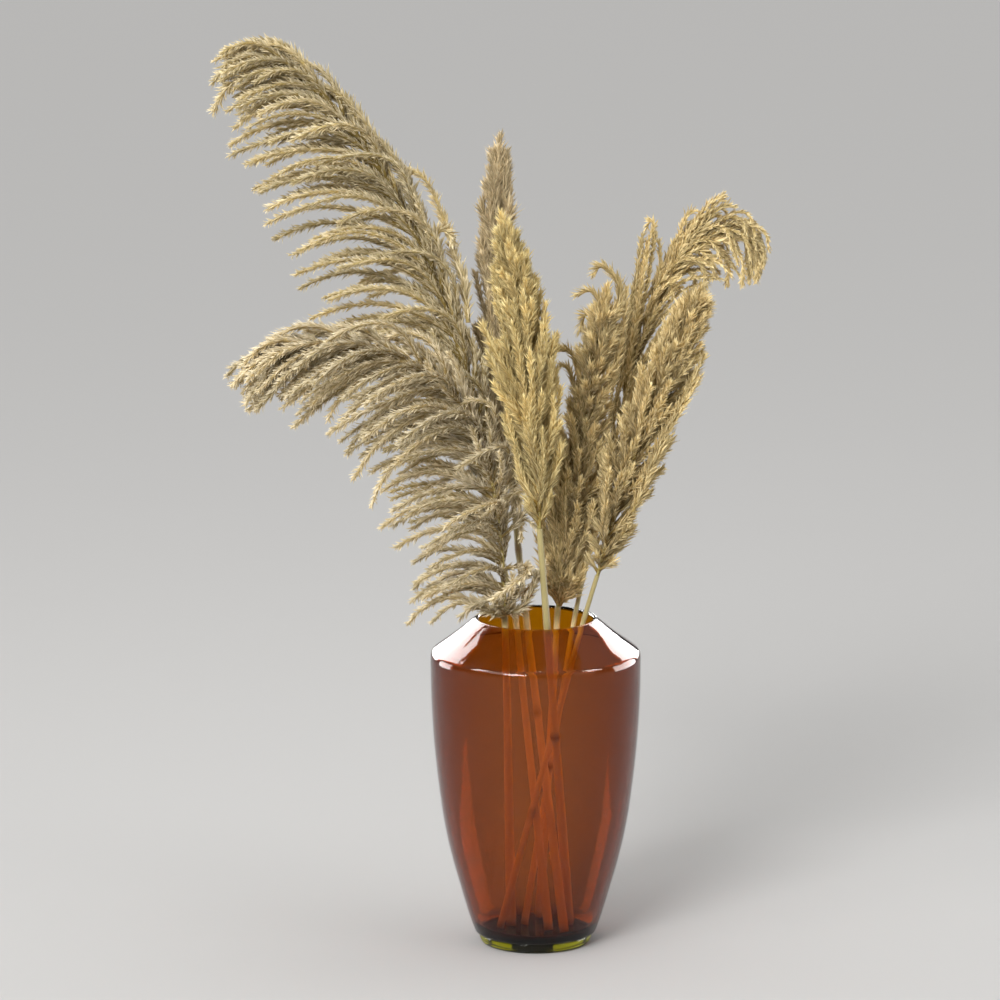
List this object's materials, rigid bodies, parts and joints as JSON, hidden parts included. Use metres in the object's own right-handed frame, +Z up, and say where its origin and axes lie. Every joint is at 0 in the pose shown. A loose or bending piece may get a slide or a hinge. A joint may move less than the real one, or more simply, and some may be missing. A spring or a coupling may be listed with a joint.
{
  "type": "pampas grass in glass vase",
  "caption": "Dried pampas grass stalks with soft feathery plumes, standing in a hollow amber glass vase with a cone shoulder, thick base and open mouth.",
  "frame": {"origin": "middle of the vase's underside, on the surface that it stands on", "axes": "+Z up along the vase's axis, -Y towards the front of the arrangement, +X to its right"},
  "size_m": [0.4955, 0.2403, 0.8],
  "materials": {
    "amber_glass": "polished",
    "straw": "satin",
    "beige_plume": "matte",
    "olive_beige_plume": "matte",
    "yellow_plume": "matte",
    "taupe_plume": "matte",
    "brown_beige_plume": "matte"
  },
  "bodies": {
    "root": {"glass_vase": "amber_glass", "left_low_stem": "straw", "left_high_stem": "straw", "centre_front_stem": "straw", "centre_back_stem": "straw", "right_front_stem": "straw", "right_back_stem": "straw", "right_arch_stem": "straw", "left_low_plume": "beige_plume", "left_high_plume": "olive_beige_plume", "centre_front_plume": "yellow_plume", "centre_back_plume": "taupe_plume", "right_front_plume": "brown_beige_plume", "right_back_plume": "brown_beige_plume", "right_arch_plume": "brown_beige_plume"}
  },
  "joints": []
}
